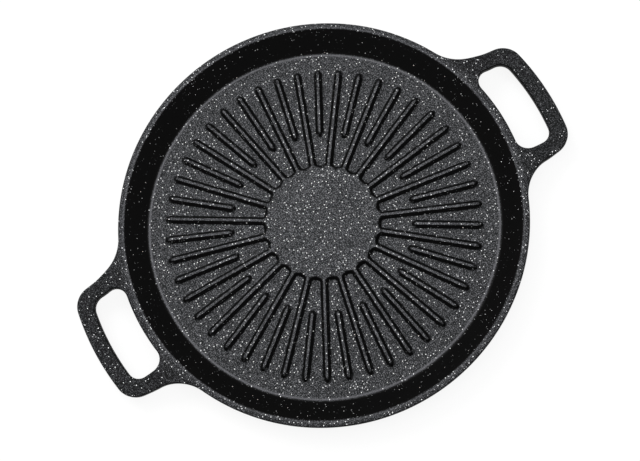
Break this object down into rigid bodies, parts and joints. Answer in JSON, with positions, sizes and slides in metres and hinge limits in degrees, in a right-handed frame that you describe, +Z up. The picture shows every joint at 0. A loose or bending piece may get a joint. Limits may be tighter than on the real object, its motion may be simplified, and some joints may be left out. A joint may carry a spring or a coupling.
{
  "type": "grill pan",
  "caption": "Round cast grill pan with a sloping wall, radial ribs flowing out of a raised centre, an outer juice ring and loop handles cast in one with the rim.",
  "frame": {"origin": "centre of the underside, in the plane that the pan rests on", "axes": "+X from the pan's axis through the middle of one handle, +Z up, out of the well; -Z is the resting side"},
  "size_m": [0.4066, 0.32, 0.022],
  "materials": {
    "speckled_coating": "cast aluminium under a black non-stick coating with sprayed grey and white granite speckle; the foot is turned bare",
    "base_steel": "perforated stainless sheet, turned flush with the foot"
  },
  "bodies": {
    "root": {"pan_body": "speckled_coating", "induction_base_disc": "base_steel"}
  },
  "joints": []
}
